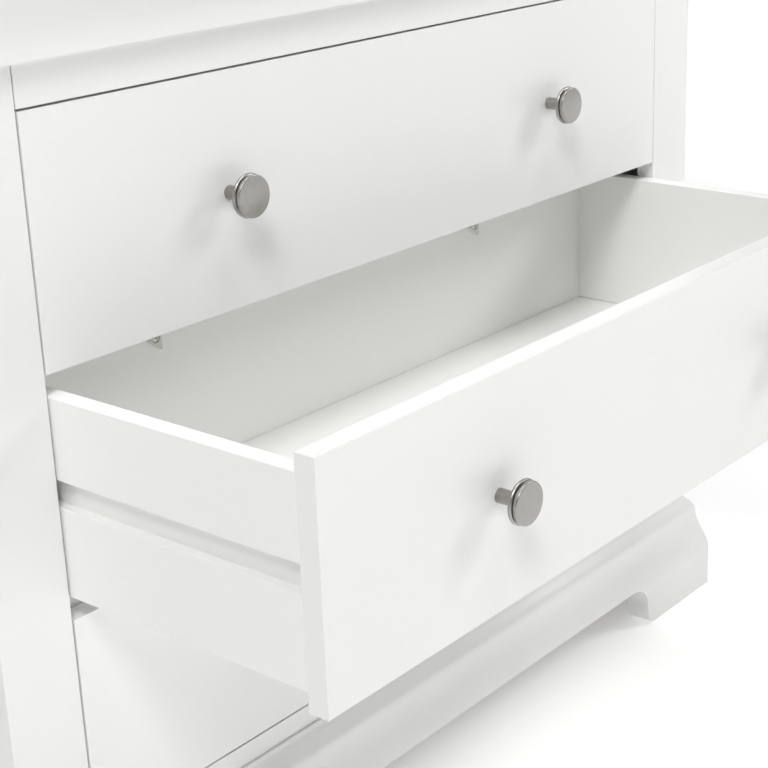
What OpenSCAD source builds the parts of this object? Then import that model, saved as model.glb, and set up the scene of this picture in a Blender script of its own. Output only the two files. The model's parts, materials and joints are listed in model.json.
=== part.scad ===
// Low chest of three full-width inset drawers, with an ogee cornice, a bracket-foot plinth
// and drawers that hang on side runners. Millimetres, front towards -Y, floor at z = 0.
// The middle drawer is drawn where it is stored: pulled out as far as its stops allow.

/* [Carcass] */
// Width over the two stiles
body_w = 861; // [760:1:1100]
// Depth from the front of the face frame to the back
body_d = 385; // [376:1:460]
// Width of each stile
stile_w = 60.5; // [56:0.5:80]
// Thickness of the face-frame boards
frame_t = 18; // [16:1:20]
// Shadow gap at each end of a face-frame rail
joint_gap = 0.8; // [0.4:0.1:1.5]
// Thickness of the side panels
side_t = 15; // [12:1:18]
// Thickness of the hardboard back
back_panel_t = 5; // [3:1:6]
// How far the hardboard back is set in from the rear edges
back_inset = 2; // [1:0.5:4]
// Height of the bottom edge of the lowest drawer opening
opening_z = 129; // [124:0.5:150]
// Thickness of the rails between the drawers
divider_t = 12; // [10:1:14]

/* [Cornice and top] */
// Height of the top rail that shows under the cornice
top_rail_show = 28; // [20:0.5:40]
// Height of the cornice moulding
cornice_h = 70; // [50:1:80]
// Projection of the cornice's lower lip
cornice_lip = 8; // [6:0.5:12]
// Projection of the cornice at its top
cornice_out = 25; // [18:1:32]
// Thickness of the top board
top_t = 22; // [18:1:28]
// Overhang of the top board past the carcass at the front and sides
top_out = 28; // [26:1:40]

/* [Plinth] */
// Height of the plinth at the carcass face
plinth_h = 111; // [104:0.5:115]
// Projection of the plinth's waist, between its two curves
waist_out = 14; // [12:0.5:16]
// Projection of the bracket feet
plinth_out = 25; // [20:0.5:30]
// Height of the apron's lower edge above the floor
apron_z = 48; // [45:1:58]
// Width of each bracket foot above its toe, from its outer corner
foot_w = 122; // [100:1:130]
// Corner radius of the cut-outs between the feet
cutout_r = 26; // [15:1:40]

/* [Drawers] */
// Height of one drawer opening
pitch = 173.5; // [160:0.5:220]
// Gap at each end of a drawer front
gap_x = 1.5; // [1:0.25:2.5]
// Gap at the top and at the bottom of a drawer front
gap_z = 1.6; // [1:0.1:2]
// Thickness of a drawer front
front_t = 16; // [16:1:20]
// Depth of a drawer, from its front face to its back
drawer_d = 320; // [300:1:335]
// Thickness of a drawer side
box_side_t = 14; // [12:1:15]
// Thickness of a drawer back
box_back_t = 13; // [10:1:15]
// Thickness of a drawer bottom
box_bottom_t = 5; // [4:1:6]
// Distance of the sides' upper edges below the front's
side_top_down = 12; // [8:1:14]
// Distance of the sides' lower edges above the front's
side_bottom_up = 14; // [8:1:16]
// Height of the drawer floor above the front's bottom edge
floor_up = 29.5; // [24:0.5:34]
// How far a drawer pulls out before its stops meet the rail above it
travel = 232; // [200:1:235]

/* [Runners] */
// Distance of the runner groove below the front's top edge
groove_down = 70.9; // [60:0.1:80]
// Height of the runner groove
groove_h = 19.4; // [16:0.1:22]
// Depth of the runner groove
groove_deep = 7; // [5:0.5:8]
// Height of the packer that carries a runner
packer_h = 50; // [40:1:60]

/* [Knobs] */
// Distance from the middle of the chest to each knob
knob_x = 195; // [120:1:260]
// Diameter of the knob's rear disc
knob_d = 32; // [26:0.5:36]
// Projection of the knob from the drawer front
knob_out = 25.5; // [22:0.5:28]
// Diameter of the knob's stem
knob_stem_d = 10.3; // [8:0.1:12]

/* [Hidden] */
$fn = 48;
curve_steps = 12;

// heights
opening_top = opening_z + 3 * pitch;
cornice_z = opening_top + top_rail_show;
top_z = cornice_z + cornice_h;
floor_clear = 1;
leg_z = 3;
panel_z = 60;

// places in plan: the stored model is centred on the origin
front_y = (travel + knob_out - body_d) / 2;
back_y = front_y + body_d;
half_w = body_w / 2;
half_opening = half_w - stile_w;
inner_x = half_w - side_t;
panel_y = back_y - back_inset - back_panel_t;
back_rebate = 8;

// drawers, from the bottom up
DRAWERS = ["bottom", "middle", "top"];
stored_out = [0, travel, 0];
front_h = pitch - 2 * gap_z;
half_front = half_opening - gap_x;
half_box = half_front - box_side_t;
box_top = front_h - side_top_down;
bottom_groove = 5;
bottom_play = 0.2;

// drawer stops: turn-buttons on the inside of the drawer back
stop_w = 11;
stop_t = 6.5;
stop_clear = 0.5;
stop_play = 0.2;
stop_shift = -19;
stop_tip_down = 25;
stop_tail = 10;
stop_reach = 31;
divider_y = front_y + max(front_t + 0.4, frame_t);
divider_back = front_y + drawer_d - box_back_t - stop_t - travel - stop_clear;

// runners
runner_back = front_y + 345;
packer_face = half_opening + 2;
runner_face = half_front - groove_deep + 1;
runner_play = 0.5;
RUNNER_SCREWS = [40, 170, 300];

// fasteners
screw_play = 0.1;
stop_screw_play = 0.08;
wood_screw_r = 1.75;
wood_screw_head_r = 3.5;
knob_screw_r = 2;
knob_screw_deep = 10;
block_w = 40;

SIDES = [["left", -1], ["right", 1]];
DRAWER_PARTS = ["front", "left_side", "right_side", "back", "bottom", "knobs", "knob_screws",
    "left_stop", "right_stop", "stop_screws"];

// height of a drawer opening's lower edge
function bay_z(i) = opening_z + i * pitch;
// height of a drawer front's lower edge
function front_z(i) = bay_z(i) + gap_z;
// place of a drawer front's outer face
function face_y(i) = front_y - stored_out[i];
// points of a round stretch
function arc(c, r, a0, a1) = [for (k = [0 : curve_steps])
    let (a = a0 + (a1 - a0) * k / curve_steps) c + r * [cos(a), sin(a)]];
// points of an S-shaped stretch from p to q, upright at both ends
function ogee(p, q) = [for (k = [0 : curve_steps])
    let (t = k / curve_steps)
    [p[0] + (q[0] - p[0]) * (1 - cos(180 * t)) / 2, p[1] + (q[1] - p[1]) * t]];

// a board between two opposite corners
module board(low, high) {
    translate(low) cube(high - low);
}

// an outline drawn as [across, up], extruded along X from x0 to x1
module along_x(x0, x1) {
    translate([x0, 0, 0]) rotate([90, 0, 90]) linear_extrude(x1 - x0) children();
}

// a shape, and the same shape mirrored in the middle plane
module both_sides() {
    children();
    mirror([1, 0, 0]) children();
}

// a moulding's outline runs outwards along +X, from the carcass face at x = 0
module plinth_outline() {
    waist_z = plinth_h - 22;
    polygon(concat(
        [[0, floor_clear], [plinth_out, floor_clear]],
        ogee([plinth_out, apron_z - 6], [waist_out, waist_z]),
        ogee([waist_out - 0.4, waist_z + 2], [2.5, plinth_h]),
        [[0, plinth_h]]));
}

module cornice_outline() {
    lip_r = 1.5;
    fillet = 4;
    polygon(concat(
        [[0, cornice_z]],
        arc([cornice_lip - lip_r, cornice_z + lip_r], lip_r, -90, 0),
        ogee([cornice_lip, cornice_z + fillet], [cornice_out, top_z - fillet]),
        [[cornice_out, top_z], [0, top_z]]));
}

// the plan of a front moulding that is mitred at both ends
module front_plan(out) {
    polygon([[-half_w, front_y], [half_w, front_y], [half_w + out, front_y - out],
        [-half_w - out, front_y - out]]);
}

// the plan of a right-hand moulding, mitred at its front end
module side_plan(out) {
    polygon([[half_w, front_y], [half_w + out, front_y - out], [half_w + out, back_y],
        [half_w, back_y]]);
}

module front_moulding(out) {
    intersection() {
        translate([0, front_y, 0]) mirror([0, 1, 0]) along_x(-half_w - out, half_w + out) children();
        linear_extrude(top_z) front_plan(out);
    }
}

module side_moulding(out) {
    intersection() {
        translate([half_w, back_y, 0]) rotate([90, 0, 0]) linear_extrude(body_d + out) children();
        linear_extrude(top_z) side_plan(out);
    }
}

// an arch of width w and height h, round at the top, whose sides flare out to soft toes
module arch_outline(w, h) {
    toe = 11;
    leg = h - cutout_r;
    side = concat(
        arc([w / 2 - cutout_r, leg], cutout_r, 90, 0),
        [for (k = [1 : curve_steps]) let (a = 90 * k / curve_steps)
            [w / 2 + toe * (1 - cos(a)), leg - (leg - floor_clear) * sin(a)]],
        [[w / 2 + toe, 0]]);
    for (s = [-1, 1]) polygon(concat([[0, 0], [0, h]], [for (p = side) [s * p[0], p[1]]]));
}

module plinth_front() {
    color("white") difference() {
        front_moulding(plinth_out) plinth_outline();
        translate([0, front_y + 1, 0]) rotate([90, 0, 0]) linear_extrude(plinth_out + 2)
            arch_outline(body_w + 2 * plinth_out - 2 * foot_w, apron_z);
    }
}

module plinth_right() {
    side_len = body_d + plinth_out;
    color("white") difference() {
        side_moulding(plinth_out) plinth_outline();
        translate([half_w - 1, (front_y - plinth_out + back_y) / 2, 0]) rotate([90, 0, 90])
            linear_extrude(plinth_out + 2) arch_outline(side_len - 2 * foot_w, apron_z);
    }
}

module cornice_front() {
    color("white") front_moulding(cornice_out) cornice_outline();
}

module cornice_right() {
    color("white") side_moulding(cornice_out) cornice_outline();
}

module top_panel() {
    r = 5;
    w = half_w + top_out;
    color("white") translate([0, 0, top_z]) linear_extrude(top_t) {
        for (s = [-1, 1]) translate([s * (w - r), front_y - top_out + r]) circle(r);
        translate([-w + r, front_y - top_out]) square([2 * (w - r), r]);
        translate([-w, front_y - top_out + r]) square([2 * w, body_d + top_out - r]);
    }
}

module stile_right() {
    color("white") board([half_opening, front_y, leg_z], [half_w, front_y + frame_t, top_z]);
}

module side_panel_right() {
    color("white") difference() {
        board([inner_x, front_y + frame_t, panel_z], [half_w, back_y, top_z]);
        board([inner_x - 1, panel_y, panel_z - 1],
            [inner_x + back_rebate, back_y + 1, top_z + 1]);
    }
}

module back_panel() {
    color("white") board([-inner_x - back_rebate, panel_y, panel_z],
        [inner_x + back_rebate, panel_y + back_panel_t, top_z]);
}

// a face-frame rail: a tongue at each end reaches the stile behind the shadow gap
module face_rail(z0, z1) {
    tongue_y = front_y + 6;
    color("white") {
        board([-half_opening + joint_gap, front_y, z0],
            [half_opening - joint_gap, front_y + frame_t, z1]);
        board([-half_opening, tongue_y, z0], [half_opening, front_y + frame_t, z1]);
    }
}

// a rail behind the drawer fronts, centred on the line between two drawers
module divider(z) {
    color("white") board([-inner_x, divider_y, z - divider_t / 2],
        [inner_x, divider_back, z + divider_t / 2]);
}

// a batten across the back, inside the back panel
module back_rail(z0, z1) {
    color("wheat") board([-inner_x, panel_y - 18, z0], [inner_x, panel_y, z1]);
}

module corner_blocks() {
    color("wheat") both_sides() for (y = [front_y + frame_t, back_y - block_w])
        difference() {
            board([half_w - block_w, y, leg_z], [half_w, y + block_w, panel_z]);
            translate([half_w - block_w / 2, y + block_w / 2, leg_z]) cylinder(r = 1.2, h = 14);
        }
}

module foot_glides() {
    color("gainsboro") both_sides() for (y = [front_y + frame_t, back_y - block_w])
        translate([half_w - block_w / 2, y + block_w / 2, 0]) {
            cylinder(r = 10, h = leg_z);
            cylinder(r = 1.1, h = leg_z + 12);
        }
}

// height of the middle of a drawer's runner groove
function groove_mid(i) = front_z(i) + front_h - groove_down - groove_h / 2;

// a countersunk wood screw that points along +X with the top of its head at the origin
module wood_screw(grow) {
    rotate([0, 90, 0]) {
        cylinder(r = wood_screw_r + grow, h = 30 + grow);
        cylinder(r1 = wood_screw_head_r + grow, r2 = wood_screw_r + grow, h = 2.4);
    }
}

module place_runner_screws(i) {
    for (y = RUNNER_SCREWS) translate([runner_face + 0.3, front_y + y, groove_mid(i)]) children();
}

module runner_screws() {
    color("silver") both_sides() for (i = [0 : 2]) place_runner_screws(i) wood_screw(0);
}

module runner_packers_right() {
    color("white") for (i = [0 : 2]) difference() {
        board([packer_face, front_y + frame_t, groove_mid(i) - packer_h / 2],
            [inner_x, runner_back, groove_mid(i) + packer_h / 2]);
        place_runner_screws(i) wood_screw(screw_play);
    }
}

module runner_right(i) {
    h = groove_h - 2 * runner_play;
    color("burlywood") difference() {
        board([runner_face, front_y + frame_t + 1, groove_mid(i) - h / 2],
            [packer_face, runner_back, groove_mid(i) + h / 2]);
        place_runner_screws(i) wood_screw(screw_play);
        place_runner_screws(i) rotate([0, -90, 0])
            cylinder(r = wood_screw_head_r + screw_play, h = 1);
    }
}

// a drawer's pieces are drawn from its front face at y = 0 and its front's lower edge at z = 0
module in_drawer(i) {
    translate([0, face_y(i), front_z(i)]) children();
}

module drawer_front() {
    groove_z = floor_up - box_bottom_t - bottom_play;
    color("white") difference() {
        board([-half_front, 0, 0], [half_front, front_t, front_h]);
        board([-half_box - bottom_groove, front_t - bottom_groove - 1, groove_z],
            [half_box + bottom_groove, front_t + 1, floor_up + bottom_play]);
        for (s = [-1, 1]) translate([s * knob_x, -1, front_h / 2]) rotate([-90, 0, 0])
            cylinder(r = knob_screw_r + screw_play, h = front_t + 2);
    }
}

module drawer_right_side() {
    runner_z = front_h - groove_down - groove_h;
    color("white") difference() {
        board([half_box, front_t, side_bottom_up], [half_front, drawer_d, box_top]);
        board([half_front - groove_deep, front_t - 1, runner_z],
            [half_front + 1, drawer_d + 1, runner_z + groove_h]);
        board([half_box - 1, front_t - 1, floor_up - box_bottom_t - bottom_play],
            [half_box + bottom_groove + bottom_play, drawer_d + 1, floor_up + bottom_play]);
    }
}

module drawer_back() {
    color("white") difference() {
        board([-half_box, drawer_d - box_back_t, floor_up + bottom_play],
            [half_box, drawer_d, box_top]);
        place_stops() stop_screw(screw_play);
    }
}

module drawer_bottom() {
    half_bottom = half_box + bottom_groove;
    color("white") board([-half_bottom, front_t - bottom_groove, floor_up - box_bottom_t],
        [half_bottom, drawer_d, floor_up]);
}

// a turned knob: a stem, a rear disc, a narrow waist and a slightly domed front disc
module knob() {
    r = knob_d / 2;
    stem_r = knob_stem_d / 2;
    head_z = knob_out - 8;
    dome_r = 160;
    face_r = r - 0.6;
    color("silver") difference() {
        rotate_extrude($fn = 64) {
            square([stem_r, knob_out - 2]);
            square([stem_r + 0.8, 1.5]);
            translate([0, head_z + 0.8]) square([r, 2.2]);
            translate([0, head_z]) square([r - 0.8, 3.8]);
            for (z = [head_z + 0.8, head_z + 3]) translate([r - 0.8, z]) circle(0.8);
            translate([0, head_z + 3.8]) square([r - 2.5, 1]);
            translate([0, head_z + 4.8]) square([face_r, 2.2]);
            translate([0, head_z + 6.9]) square([face_r - 0.8, 0.5]);
            intersection() {
                translate([0, knob_out - dome_r]) circle(dome_r, $fn = 720);
                translate([0, head_z]) square([face_r - 1.6, knob_out - head_z]);
            }
        }
        translate([0, 0, -1]) cylinder(r = knob_screw_r + screw_play, h = knob_screw_deep + 2);
    }
}

module place_knobs() {
    for (s = [-1, 1]) translate([s * knob_x, 0, front_h / 2]) rotate([90, 0, 0]) children();
}

module knob_screw() {
    color("silver") {
        translate([0, 0, -front_t - 2.4]) cylinder(r = 4.5, h = 2.4);
        translate([0, 0, -front_t]) cylinder(r = knob_screw_r, h = front_t + knob_screw_deep);
    }
}

// places for the stops, with Z up and +Y into the drawer back
module place_stops() {
    for (s = [-1, 1]) place_stop(s) children();
}

module place_stop(s) {
    translate([s * knob_x + stop_shift, drawer_d - box_back_t,
        box_top - stop_tip_down + stop_tail]) children();
}

// a turn-button with a blunt upper end and a tail that is cut on the slant
module drawer_stop() {
    color("whitesmoke") difference() {
        translate([0, -stop_play, 0]) rotate([90, 0, 0]) linear_extrude(stop_t - stop_play) {
            translate([-stop_w / 2, 0]) square([stop_w, stop_reach - 2]);
            translate([-stop_w / 2 + 2, 0]) square([stop_w - 4, stop_reach]);
            polygon([[-stop_w / 2, 0], [-stop_w / 2, -1], [stop_w / 2 - 1, -stop_tail],
                [stop_w / 2, -stop_tail], [stop_w / 2, 0]]);
        }
        stop_screw(stop_screw_play);
    }
}

// a pan-head screw through a stop, into the drawer back
module stop_screw(grow) {
    head_deep = 2.4;
    color("silver") rotate([90, 0, 0]) {
        translate([0, 0, -10 - grow]) cylinder(r = wood_screw_r + grow, h = stop_t + 9);
        translate([0, 0, stop_t - head_deep - grow])
            cylinder(r = wood_screw_head_r + grow, h = head_deep + 2 * grow);
    }
}

top_panel();
cornice_front();
face_rail(opening_top, top_z);  // top_rail
face_rail(panel_z, opening_z);  // bottom_rail
divider(bay_z(3));  // kicker_rail
divider(bay_z(2));  // upper_divider
divider(bay_z(1));  // lower_divider
back_panel();
back_rail(top_z - 45, top_z);  // back_top_rail
back_rail(panel_z, panel_z + 50);  // back_bottom_rail
plinth_front();
corner_blocks();
foot_glides();
runner_screws();
for (s = SIDES) mirror([s[1] < 0 ? 1 : 0, 0, 0]) {
    cornice_right();
    side_panel_right();
    stile_right();
    plinth_right();
    runner_packers_right();
    for (i = [0 : 2])
        runner_right(i);
}
for (i = [0 : 2]) in_drawer(i) {
    name = str(DRAWERS[i], "_drawer_");
    drawer_front();
    mirror([1, 0, 0]) drawer_right_side();
    drawer_right_side();
    drawer_back();
    drawer_bottom();
    place_knobs() knob();
    place_knobs() knob_screw();
    place_stop(-1) drawer_stop();
    place_stop(1) drawer_stop();
    place_stops() stop_screw(0);
}
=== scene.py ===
"""A low white chest of drawers, dressed around its CAD frame. Metres, front towards -Y, floor at z = 0."""
import json
import math

import bmesh
import bpy
from mathutils import Matrix, Vector


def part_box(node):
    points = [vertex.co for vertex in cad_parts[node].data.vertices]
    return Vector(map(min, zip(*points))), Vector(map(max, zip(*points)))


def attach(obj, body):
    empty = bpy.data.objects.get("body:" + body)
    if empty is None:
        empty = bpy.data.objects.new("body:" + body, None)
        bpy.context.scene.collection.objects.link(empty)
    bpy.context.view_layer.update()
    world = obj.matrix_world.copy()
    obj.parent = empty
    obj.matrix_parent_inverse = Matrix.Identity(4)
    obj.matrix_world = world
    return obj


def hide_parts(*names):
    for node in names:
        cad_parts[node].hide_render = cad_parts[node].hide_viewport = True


MM = 0.001
DRAWERS = ("bottom", "middle", "top")
SIDES = ("left", "right")

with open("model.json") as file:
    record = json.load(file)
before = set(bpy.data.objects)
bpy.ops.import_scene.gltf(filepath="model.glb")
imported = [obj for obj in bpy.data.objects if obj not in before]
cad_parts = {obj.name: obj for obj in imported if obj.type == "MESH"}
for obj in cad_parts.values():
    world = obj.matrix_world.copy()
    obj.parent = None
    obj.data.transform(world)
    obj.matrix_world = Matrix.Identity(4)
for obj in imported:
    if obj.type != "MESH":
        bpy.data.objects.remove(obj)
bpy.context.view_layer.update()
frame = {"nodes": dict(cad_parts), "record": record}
nodes = frame["nodes"]
scene = bpy.context.scene


def mesh_from(form, name):
    """Turns a bmesh into a mesh and frees it."""
    mesh = bpy.data.meshes.new(name)
    form.to_mesh(mesh)
    form.free()
    return mesh


def put(name, data):
    """Puts an object with this data in the scene."""
    made = bpy.data.objects.new(name, data)
    scene.collection.objects.link(made)
    return made


def shade_smooth(mesh):
    mesh.polygons.foreach_set("use_smooth", [True] * len(mesh.polygons))


# --- camera, light and stage ------------------------------------------------------------------

CAMERA_AT = (-1.0126, -0.9089, 0.8365)
CAMERA_YAW = 51.24
CAMERA_DROP = 19.85
CAMERA_ROLL = 1.58
CAMERA_LENS = 79.54
CAMERA_SHIFT = -0.079


def make_camera():
    """A camera that stands to the left of the chest's front and looks down at the open drawer."""
    yaw, drop = math.radians(CAMERA_YAW), math.radians(CAMERA_DROP)
    ahead = Vector((math.sin(yaw) * math.cos(drop), math.cos(yaw) * math.cos(drop), -math.sin(drop)))
    turn = ahead.to_track_quat("-Z", "Y").to_matrix() @ Matrix.Rotation(math.radians(-CAMERA_ROLL), 3, "Z")
    data = bpy.data.cameras.new("camera")
    data.lens = CAMERA_LENS
    data.shift_x = CAMERA_SHIFT
    data.clip_end = 60
    camera = put("camera", data)
    camera.matrix_world = Matrix.Translation(CAMERA_AT) @ turn.to_4x4()
    scene.camera = camera


LIGHT_AIM = Vector((0, -0.1, 0.4))
LIGHT_DISTANCE = 3.8


def soft_box(name, direction, size, watts):
    """A round soft box that shines at the chest from a direction."""
    data = bpy.data.lights.new(name, "AREA")
    data.shape = "DISK"
    data.size = size
    data.energy = watts
    light = put(name, data)
    towards = Vector(direction).normalized()
    light.location = LIGHT_AIM + towards * LIGHT_DISTANCE
    light.rotation_euler = (-towards).to_track_quat("-Z", "Y").to_euler()


# the world is a bright band at the horizon that fades as it rises: heights as sines, strengths
HORIZON_HEIGHT, SKY_HEIGHT = 0.03, 0.22
HORIZON_STRENGTH, SKY_STRENGTH = 0.55, 0.06
# name, direction from the chest, diameter in metres, watts
SOFT_BOXES = (
    ("overhead", (0.05, -0.15, 1.0), 2.2, 70),
    ("left_key", (-0.54, -0.35, 0.77), 1.2, 69),
    ("right_fill", (0.70, -0.50, 0.50), 1.2, 40),
)


def make_world():
    world = bpy.data.worlds.new("studio")
    world.use_nodes = True
    tree = world.node_tree
    background = tree.nodes["Background"]
    background.inputs["Color"].default_value = (1, 1, 1, 1)
    place = tree.nodes.new("ShaderNodeTexCoord")
    parts = tree.nodes.new("ShaderNodeSeparateXYZ")
    sky = tree.nodes.new("ShaderNodeMapRange")
    sky.inputs["From Min"].default_value = HORIZON_HEIGHT
    sky.inputs["From Max"].default_value = SKY_HEIGHT
    sky.inputs["To Min"].default_value = HORIZON_STRENGTH
    sky.inputs["To Max"].default_value = SKY_STRENGTH
    tree.links.new(place.outputs["Generated"], parts.inputs["Vector"])
    tree.links.new(parts.outputs["Z"], sky.inputs["Value"])
    tree.links.new(sky.outputs["Result"], background.inputs["Strength"])
    scene.world = world


def make_lights():
    make_world()
    for box in SOFT_BOXES:
        soft_box(*box)
    scene.view_settings.view_transform = "Standard"


# half the width of the floor, in metres
FLOOR_HALF = 30
# metres out from the plinth's edge, and how strongly the floor glows there; the glow is painted light, weak
# under the chest as a painted shadow, brightest just outside the plinth and white far away
GLOW_AND_PAINTED_SHADOW = ((-0.05, 0.20), (0.03, 0.44), (0.4, 0.20), (1.0, 0.20), (2.4, 0.85))


def floor_glow_and_painted_shadow(tree):
    """Painted light and shade in the floor's glow: weak under the chest as a painted shadow, stronger
    outside its plinth, white far away.
    """
    low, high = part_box("plinth_front")
    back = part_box("plinth_left")[1].y
    middle = (low.y + back) / 2
    place = tree.nodes.new("ShaderNodeTexCoord")
    centred = tree.nodes.new("ShaderNodeVectorMath")
    centred.operation = "SUBTRACT"
    centred.inputs[1].default_value = (0, middle, 0)
    apart = tree.nodes.new("ShaderNodeVectorMath")
    apart.operation = "ABSOLUTE"
    beyond = tree.nodes.new("ShaderNodeVectorMath")
    beyond.operation = "SUBTRACT"
    beyond.inputs[1].default_value = (high.x, back - middle, 0)
    parts = tree.nodes.new("ShaderNodeSeparateXYZ")
    tree.links.new(place.outputs["Object"], centred.inputs[0])
    tree.links.new(centred.outputs["Vector"], apart.inputs[0])
    tree.links.new(apart.outputs["Vector"], beyond.inputs[0])
    tree.links.new(beyond.outputs["Vector"], parts.inputs["Vector"])
    distance = tree.nodes.new("ShaderNodeMath")
    distance.operation = "MAXIMUM"
    tree.links.new(parts.outputs["X"], distance.inputs[0])
    tree.links.new(parts.outputs["Y"], distance.inputs[1])
    reach = tree.nodes.new("ShaderNodeMapRange")
    reach.inputs["From Min"].default_value = GLOW_AND_PAINTED_SHADOW[0][0]
    reach.inputs["From Max"].default_value = GLOW_AND_PAINTED_SHADOW[-1][0]
    tree.links.new(distance.outputs["Value"], reach.inputs["Value"])
    ramp = tree.nodes.new("ShaderNodeValToRGB")
    stops = ramp.color_ramp.elements
    for _ in GLOW_AND_PAINTED_SHADOW[2:]:
        stops.new(0.5)
    for stop, (out, strength) in zip(stops, GLOW_AND_PAINTED_SHADOW):
        stop.position = (out - GLOW_AND_PAINTED_SHADOW[0][0]) / (GLOW_AND_PAINTED_SHADOW[-1][0] - GLOW_AND_PAINTED_SHADOW[0][0])
        stop.color = (strength, strength, strength, 1)
    tree.links.new(reach.outputs["Result"], ramp.inputs["Fac"])
    return ramp.outputs["Color"]


def make_stage():
    """A pale floor that runs on to the horizon and glows with painted light, dimmer under the chest as a
    painted shadow.
    """
    form = bmesh.new()
    bmesh.ops.create_grid(form, x_segments=1, y_segments=1, size=FLOOR_HALF)
    floor = put("floor", mesh_from(form, "floor"))
    made, tree, shader = new_material("floor", (0.92, 0.92, 0.92), 0.7)
    shader.inputs["Emission Color"].default_value = (1, 1, 1, 1)
    # the floor glows with painted light, dimmed under the chest into a painted shadow
    tree.links.new(floor_glow_and_painted_shadow(tree), shader.inputs["Emission Strength"])
    floor.data.materials.append(made)


# --- materials --------------------------------------------------------------------------------


def new_material(name, colour, roughness):
    """A material, its node tree and its shader, with the constants set on the shader."""
    made = bpy.data.materials.new(name)
    made.use_nodes = True
    tree = made.node_tree
    shader = tree.nodes["Principled BSDF"]
    shader.inputs["Base Color"].default_value = (*colour, 1)
    shader.inputs["Roughness"].default_value = roughness
    return made, tree, shader


def object_noise(tree, scale, detail=3, stretch=(1, 1, 1), roughness=0.5):
    """Noise in the object's own metres, stretched along its axes."""
    place = tree.nodes.new("ShaderNodeTexCoord")
    mapping = tree.nodes.new("ShaderNodeMapping")
    mapping.inputs["Scale"].default_value = stretch
    noise = tree.nodes.new("ShaderNodeTexNoise")
    noise.inputs["Scale"].default_value = scale
    noise.inputs["Detail"].default_value = detail
    noise.inputs["Roughness"].default_value = roughness
    tree.links.new(place.outputs["Object"], mapping.inputs["Vector"])
    tree.links.new(mapping.outputs["Vector"], noise.inputs["Vector"])
    return noise.outputs["Fac"]


def remap(tree, value, low, high):
    """Spreads a 0.3 to 0.7 signal over low to high."""
    node = tree.nodes.new("ShaderNodeMapRange")
    node.inputs["From Min"].default_value = 0.3
    node.inputs["From Max"].default_value = 0.7
    node.inputs["To Min"].default_value = low
    node.inputs["To Max"].default_value = high
    tree.links.new(value, node.inputs["Value"])
    return node.outputs["Result"]


def colour_ramp(tree, value, dark, light, low=0.3, high=0.7):
    ramp = tree.nodes.new("ShaderNodeValToRGB")
    ramp.color_ramp.elements[0].position = low
    ramp.color_ramp.elements[0].color = (*dark, 1)
    ramp.color_ramp.elements[1].position = high
    ramp.color_ramp.elements[1].color = (*light, 1)
    tree.links.new(value, ramp.inputs["Fac"])
    return ramp.outputs["Color"]


def shade(colour, factor):
    return tuple(c * factor for c in colour)


def add_bump(tree, shader, value, distance, strength=1.0, under=None):
    """Adds a bump to the shader, on top of the bump under it, and returns its normal."""
    bump = tree.nodes.new("ShaderNodeBump")
    bump.inputs["Distance"].default_value = distance
    bump.inputs["Strength"].default_value = strength
    tree.links.new(value, bump.inputs["Height"])
    if under is not None:
        tree.links.new(under, bump.inputs["Normal"])
    tree.links.new(bump.outputs["Normal"], shader.inputs["Normal"])
    return bump.outputs["Normal"]


def lacquer(name, colour, roughness):
    """Sprayed satin lacquer: a faint cloudiness, a fine orange peel and a thin clear coat."""
    made, tree, shader = new_material(name, colour, roughness)
    cloud = object_noise(tree, 5, 2)
    tree.links.new(colour_ramp(tree, cloud, shade(colour, 0.985), colour), shader.inputs["Base Color"])
    smear = object_noise(tree, 28, 4)
    tree.links.new(remap(tree, smear, roughness - 0.05, roughness + 0.05), shader.inputs["Roughness"])
    peel = add_bump(tree, shader, object_noise(tree, 420, 2), 0.00005, 0.6)
    add_bump(tree, shader, object_noise(tree, 60, 2), 0.00012, 0.5, peel)
    shader.inputs["Coat Weight"].default_value = 0.12
    shader.inputs["Coat Roughness"].default_value = 0.25
    return made


def wood(name, light, dark, along, roughness):
    """Planed wood with its grain along one axis: wide figure, fine streaks, and pores as a bump."""
    made, tree, shader = new_material(name, light, roughness)
    stretch = [0.06 if axis == along else 1.0 for axis in "XYZ"]
    figure = colour_ramp(tree, object_noise(tree, 60, 5, stretch, 0.6), dark, light, 0.35, 0.62)
    streak = object_noise(tree, 330, 3, stretch, 0.7)
    mix = tree.nodes.new("ShaderNodeMix")
    mix.data_type = "RGBA"
    mix.blend_type = "MULTIPLY"
    mix.inputs["Factor"].default_value = 0.6
    tree.links.new(figure, mix.inputs["A"])
    tree.links.new(colour_ramp(tree, streak, (0.80, 0.74, 0.66), (1, 1, 1)), mix.inputs["B"])
    tree.links.new(mix.outputs["Result"], shader.inputs["Base Color"])
    pores = object_noise(tree, 700, 3, [0.03 if axis == along else 1.0 for axis in "XYZ"])
    tree.links.new(remap(tree, pores, roughness + 0.1, roughness - 0.08), shader.inputs["Roughness"])
    add_bump(tree, shader, pores, 0.00015, 0.6)
    return made


def turned_nickel(name, colour, roughness):
    """Satin nickel off the lathe: fine rings round the piece's own Y axis, and a soft blotch."""
    made, tree, shader = new_material(name, colour, roughness)
    place = tree.nodes.new("ShaderNodeTexCoord")
    rings = tree.nodes.new("ShaderNodeTexWave")
    rings.wave_type = "RINGS"
    rings.rings_direction = "Y"
    rings.inputs["Scale"].default_value = 520
    rings.inputs["Distortion"].default_value = 1.5
    rings.inputs["Detail"].default_value = 2
    tree.links.new(place.outputs["Object"], rings.inputs["Vector"])
    add_bump(tree, shader, rings.outputs["Fac"], 0.00001, 0.5)
    blotch = object_noise(tree, 160, 4)
    tree.links.new(remap(tree, blotch, roughness - 0.05, roughness + 0.06), shader.inputs["Roughness"])
    tree.links.new(colour_ramp(tree, blotch, shade(colour, 0.9), colour), shader.inputs["Base Color"])
    shader.inputs["Metallic"].default_value = 1.0
    return made


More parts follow.
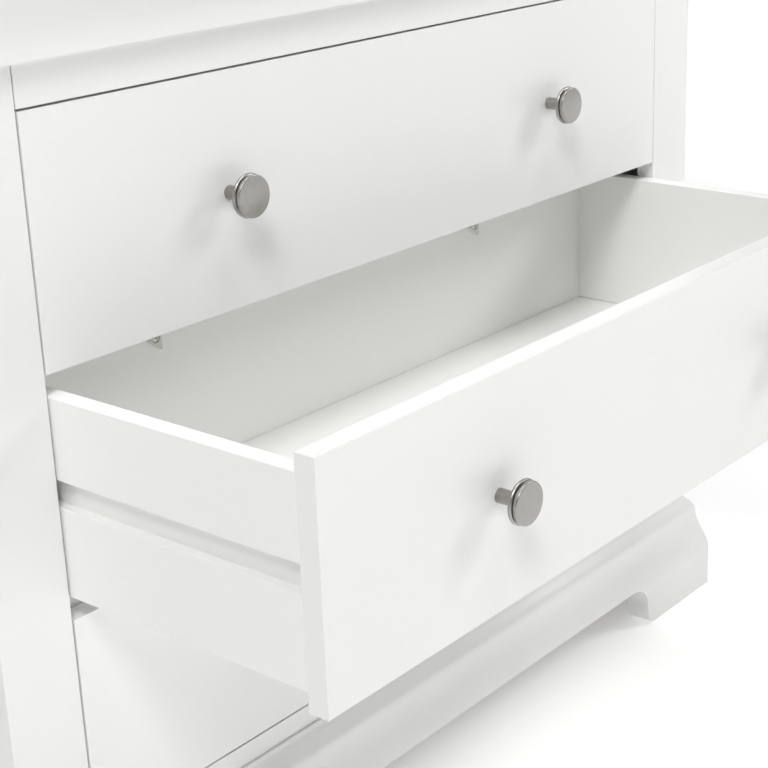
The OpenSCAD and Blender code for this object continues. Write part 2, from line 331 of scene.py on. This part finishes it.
def moulded_nylon(name, colour, roughness):
    made, tree, shader = new_material(name, colour, roughness)
    add_bump(tree, shader, object_noise(tree, 900, 2), 0.00004, 0.5)
    tone = object_noise(tree, 90, 2)
    tree.links.new(colour_ramp(tree, tone, shade(colour, 0.95), colour), shader.inputs["Base Color"])
    shader.inputs["Subsurface Weight"].default_value = 0.1
    shader.inputs["Subsurface Scale"].default_value = 0.002
    return made


def zinc(name, colour, roughness):
    """Zinc plate, a little blotchy from the barrel."""
    made, tree, shader = new_material(name, colour, roughness)
    blotch = object_noise(tree, 500, 3)
    tree.links.new(colour_ramp(tree, blotch, shade(colour, 0.8), colour), shader.inputs["Base Color"])
    tree.links.new(remap(tree, blotch, roughness, roughness + 0.15), shader.inputs["Roughness"])
    shader.inputs["Metallic"].default_value = 1.0
    return made


def hardboard(name, colour, roughness):
    """White-faced hardboard: a fine fibrous print."""
    made, tree, shader = new_material(name, colour, roughness)
    fibres = object_noise(tree, 240, 5, (1, 1, 0.35), 0.7)
    tree.links.new(colour_ramp(tree, fibres, shade(colour, 0.93), colour), shader.inputs["Base Color"])
    add_bump(tree, shader, fibres, 0.0002, 0.5)
    return made


PINE = ((0.74, 0.56, 0.34), (0.60, 0.42, 0.23))
BEECH = ((0.62, 0.44, 0.27), (0.46, 0.30, 0.17))
MATERIALS = {
    "white_lacquer": lacquer("white_lacquer", (0.87, 0.87, 0.86), 0.38),
    "drawer_lacquer": lacquer("drawer_lacquer", (0.905, 0.907, 0.89), 0.46),
    "softwood": wood("softwood", *PINE, "X", 0.62),
    "hardwood": wood("hardwood", *BEECH, "Y", 0.5),
    "back_board": hardboard("back_board", (0.70, 0.69, 0.66), 0.6),
    "satin_nickel": turned_nickel("satin_nickel", (0.39, 0.382, 0.362), 0.34),
    "zinc_screw": zinc("zinc_screw", (0.62, 0.61, 0.58), 0.32),
    "white_nylon": moulded_nylon("white_nylon", (0.70, 0.70, 0.67), 0.45),
}
# nodes whose grain runs another way than their slot's
GRAIN = {"corner_blocks": wood("softwood_block", *PINE, "Z", 0.62)}


# --- CAD nodes that stay ----------------------------------------------------------------------


def finish_node(node, material, round_by):
    """Gives a CAD node its material and softens its sharp edges."""
    node.data.materials.clear()
    node.data.materials.append(material)
    shade_smooth(node.data)
    weld = node.modifiers.new("weld", "WELD")
    weld.merge_threshold = 0.01 * MM
    flat = node.modifiers.new("flat", "DECIMATE")
    flat.decimate_type = "DISSOLVE"
    flat.angle_limit = math.radians(0.5)
    soften = node.modifiers.new("soften", "BEVEL")
    soften.width = round_by
    soften.segments = 3
    soften.limit_method = "ANGLE"
    soften.angle_limit = math.radians(32)
    even = node.modifiers.new("even", "WEIGHTED_NORMAL")
    even.keep_sharp = True


def edge_round(name):
    """How much a node's edges are rounded, by what the piece is."""
    if name == "top_panel":
        return 5 * MM
    if name.endswith("_drawer_front"):
        return 1.5 * MM
    if name.endswith("_stop"):
        return 0.4 * MM
    if name.startswith(("cornice", "plinth")):
        return 0.6 * MM
    return 0.9 * MM


def dress_cad_nodes():
    slot_of = {row["node"]: row["material_slot"] for row in frame["record"]["subparts"]}
    for name, node in nodes.items():
        finish_node(node, GRAIN.get(name, MATERIALS[slot_of[name]]), edge_round(name))


# --- new pieces -------------------------------------------------------------------------------


def arc(centre, radius, start, end, steps=5):
    """Points of a round stretch of a profile, from one angle to another, in degrees."""
    turns = [math.radians(start + (end - start) * k / steps) for k in range(steps + 1)]
    return [(centre[0] + radius * math.cos(t), centre[1] + radius * math.sin(t)) for t in turns]


def lathe(name, profile, segments=72, sharp=38):
    """A mesh turned round its own Y axis from (radius, height) points, with the height towards -Y."""
    form = bmesh.new()
    rings = []
    for radius, height in profile:
        if radius == 0:
            rings.append([form.verts.new((0, -height, 0))])
            continue
        turns = [math.tau * k / segments for k in range(segments)]
        rings.append([form.verts.new((radius * math.cos(t), -height, radius * math.sin(t))) for t in turns])
    for low, high in zip(rings, rings[1:]):
        for k in range(segments):
            n = (k + 1) % segments
            corners = [low[k % len(low)], low[n % len(low)], high[n % len(high)], high[k % len(high)]]
            form.faces.new(list(dict.fromkeys(corners)))
    bmesh.ops.recalc_face_normals(form, faces=form.faces)
    mesh = mesh_from(form, name)
    shade_smooth(mesh)
    mesh.set_sharp_from_angle(angle=math.radians(sharp))
    return mesh


def add_piece(name, mesh, place, body, slot, replaced=()):
    """Puts a mesh in the scene as a piece that rides on a body and stands for CAD nodes."""
    piece = put(name, mesh)
    piece.matrix_world = place
    if not mesh.materials:
        mesh.materials.append(MATERIALS[slot])
    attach(piece, body)
    if replaced:
        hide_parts(*replaced)


# the knob in millimetres: its discs' radii, its projection, its stem, and how the head is turned
KNOB_R = 16.0
KNOB_FACE_R = 15.3
KNOB_OUT = 25.5
KNOB_STEM_R = 5.15
KNOB_HEAD_DEEP = 8.0
KNOB_FACE_DEEP = 3.5
KNOB_DOME = 0.75
KNOB_RIM_R = 1.7
KNOB_FLARE_R = 3
KNOB_GROOVE_R = 13.4


def knob_profile():
    """A straight stem that flares into a round-rimmed disc, a dark groove, and a domed front disc."""
    rear = KNOB_OUT - KNOB_HEAD_DEEP
    front = KNOB_OUT - KNOB_FACE_DEEP
    flare = arc((KNOB_STEM_R + KNOB_FLARE_R, rear - KNOB_FLARE_R), KNOB_FLARE_R, 180, 90)
    rear_rim = arc((KNOB_R - KNOB_RIM_R, rear + KNOB_RIM_R), KNOB_RIM_R, -90, 90, 10)
    groove = [(KNOB_GROOVE_R, rear + 2 * KNOB_RIM_R), (KNOB_GROOVE_R, front)]
    front_rim = arc((KNOB_FACE_R - 0.4, front + 0.4), 0.4, -90, 0, 3)
    bevel = [(KNOB_FACE_R, front + 1.5), *arc((KNOB_FACE_R - 0.9, front + 1.9), 0.9, 0, 80, 5)]
    lip_r = KNOB_FACE_R - 1.3
    turns = [math.radians(9 * k) for k in range(9)]
    face = [(lip_r * math.cos(t), KNOB_OUT - KNOB_DOME * math.cos(t) ** 2) for t in turns]
    stem = [(0, 0), (KNOB_STEM_R, 0)]
    points = [*stem, *flare, *rear_rim, *groove, *front_rim, *bevel, *face, (0, KNOB_OUT)]
    return [(r * MM, h * MM) for r, h in points]


def make_knobs():
    mesh = lathe("knob", knob_profile(), 96)
    for drawer in DRAWERS:
        node = f"{drawer}_drawer_knobs"
        low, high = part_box(node)
        middle = (low.z + high.z) / 2
        for side, x in zip(SIDES, (low.x + KNOB_R * MM, high.x - KNOB_R * MM)):
            place = Matrix.Translation((x, high.y, middle))
            add_piece(f"{drawer}_knob_{side}", mesh, place, f"{drawer}_drawer", "satin_nickel", (node,))


def cross_cutter(name, top, deep, turned):
    """One arm of a cross recess: a blade that narrows as it goes down from the top of a head."""
    form = bmesh.new()
    bmesh.ops.create_cube(form, size=1)
    for vert in form.verts:
        inside = vert.co.y > 0
        long, wide = (0.9, 0.4) if inside else (1.9, 0.7)
        vert.co.x *= long * deep
        vert.co.y = deep - top if inside else -deep - top
        vert.co.z *= wide * deep
    form.transform(Matrix.Rotation(turned, 4, "Y"))
    return put(name, mesh_from(form, name))


def crossed(name, profile, deep):
    """A lathed screw with a cross recess in its head, which is at the top of the profile."""
    screw = put(name, lathe(name, profile, 48))
    top = profile[-1][1]
    cutters = [cross_cutter(f"{name}_arm_{k}", top, deep, math.pi / 2 * k) for k in range(2)]
    for cutter in cutters:
        cut = screw.modifiers.new(cutter.name, "BOOLEAN")
        cut.operation = "DIFFERENCE"
        cut.object = cutter
    evaluated = screw.evaluated_get(bpy.context.evaluated_depsgraph_get())
    made = bpy.data.meshes.new_from_object(evaluated)
    made.name = name
    made.materials.clear()
    for spare in (screw, *cutters):
        bpy.data.objects.remove(spare)
    shade_smooth(made)
    made.set_sharp_from_angle(angle=math.radians(30))
    return made


def pan_head(radius, deep, shank_r, length):
    """A pan-head screw's profile, from the tip of its shank to the crown of its head."""
    shoulder = length + deep * 0.4
    crown_r = radius * 0.75
    crown = arc((radius - crown_r, shoulder), crown_r, 0, 90, 8)
    squash = (deep * 0.6) / crown_r
    crown = [(r, shoulder + (h - shoulder) * squash) for r, h in crown]
    shank = [(0, 0), (shank_r, 1), (shank_r, length), (radius, length)]
    return [(r * MM, h * MM) for r, h in [*shank, *crown, (0, length + deep)]]


def flat_head(radius, deep, shank_r, length):
    """A countersunk wood screw's profile, from its point to the flat of its head."""
    cone = [(shank_r, length - deep), (radius, length - 0.3), (radius, length), (0, length)]
    return [(r * MM, h * MM) for r, h in [(0, 0), (shank_r, 5), *cone]]


def facing(x, y, z, turned=0):
    """A place for a lathed piece, turned round Z from its usual way of pointing to the front."""
    return Matrix.Translation((x, y, z)) @ Matrix.Rotation(math.radians(turned), 4, "Z")


# millimetres: head radius, head depth, shank radius, length up to the head of a pan-head screw
KNOB_SCREW = (4.5, 2.4, 2.0, 26.0)
STOP_SCREW = (3.5, 2.4, 1.75, 14.1)
# the same for a countersunk screw, with its whole length last
RUNNER_SCREW = (3.5, 2.4, 1.75, 30.0)
# depth of each screw's cross recess
KNOB_RECESS = 1.5 * MM
STOP_RECESS = 1.2 * MM
RUNNER_RECESS = 1.3 * MM


def make_drawer_screws():
    """The knobs' machine screws, with their heads in the drawers, and the pivots of the stops."""
    knob_screw = crossed("knob_screw", pan_head(*KNOB_SCREW), KNOB_RECESS)
    stop_screw = crossed("stop_screw", pan_head(*STOP_SCREW), STOP_RECESS)
    knob_head_r = KNOB_SCREW[0] * MM
    stop_head_r = STOP_SCREW[0] * MM
    stop_screw_length = (STOP_SCREW[1] + STOP_SCREW[3]) * MM
    for drawer in DRAWERS:
        body = f"{drawer}_drawer"
        node = f"{drawer}_drawer_knob_screws"
        low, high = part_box(node)
        z = (low.z + high.z) / 2
        for side, x in zip(SIDES, (low.x + knob_head_r, high.x - knob_head_r)):
            place = facing(x, low.y, z, 180)
            add_piece(f"{drawer}_knob_screw_{side}", knob_screw, place, body, "zinc_screw", (node,))
        node = f"{drawer}_drawer_stop_screws"
        low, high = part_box(node)
        z = (low.z + high.z) / 2
        for side, x in zip(SIDES, (low.x + stop_head_r, high.x - stop_head_r)):
            place = facing(x, low.y + stop_screw_length, z)
            add_piece(f"{drawer}_stop_screw_{side}", stop_screw, place, body, "zinc_screw", (node,))


def make_runner_screws():
    """Three countersunk screws through each runner, with their heads towards the drawer."""
    mesh = crossed("runner_screw", flat_head(*RUNNER_SCREW), RUNNER_RECESS)
    head_r = RUNNER_SCREW[0] * MM
    low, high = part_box("runner_screws")
    rows = (low.y + head_r, (low.y + high.y) / 2, high.y - head_r)
    for drawer in DRAWERS:
        for side, x, turned in zip(SIDES, (low.x, high.x), (90, -90)):
            runner_low, runner_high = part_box(f"runner_{drawer}_{side}")
            z = (runner_low.z + runner_high.z) / 2
            for k, y in enumerate(rows):
                name = f"runner_screw_{drawer}_{side}_{k + 1}"
                add_piece(name, mesh, facing(x, y, z, turned), "carcass", "zinc_screw", ("runner_screws",))


PIN_R = 2.2 * MM
PIN_HEIGHT = 0.9 * MM
PIN_STEP = 96 * MM
PIN_INSET = 8 * MM


def make_back_pins():
    """A row of domed pins round the edge of the back panel, on its rear face."""
    low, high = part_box("back_panel")
    width = high.x - low.x - 2 * PIN_INSET
    height = high.z - low.z - 2 * PIN_INSET
    across = round(width / PIN_STEP)
    up = round(height / PIN_STEP)
    left, foot = low.x + PIN_INSET, low.z + PIN_INSET
    spots = [(left + width * k / across, foot + height * end) for k in range(across + 1) for end in (0, 1)]
    spots += [(left + width * end, foot + height * k / up) for k in range(1, up) for end in (0, 1)]
    dome = [(PIN_R * math.cos(t), PIN_HEIGHT * math.sin(t)) for t in (0, 0.4, 0.8, 1.2)]
    head = lathe("back_pin", [(0, 0), *dome, (0, PIN_HEIGHT)], 16)
    form = bmesh.new()
    for x, z in spots:
        start = len(form.verts)
        form.from_mesh(head)
        form.verts.ensure_lookup_table()
        bmesh.ops.transform(form, matrix=facing(x, high.y, z, 180), verts=form.verts[start:])
    mesh = mesh_from(form, "back_pins")
    shade_smooth(mesh)
    add_piece("back_pins", mesh, Matrix.Identity(4), "carcass", "zinc_screw")


make_camera()
make_lights()
make_stage()
dress_cad_nodes()
make_knobs()
make_drawer_screws()
make_runner_screws()
make_back_pins()
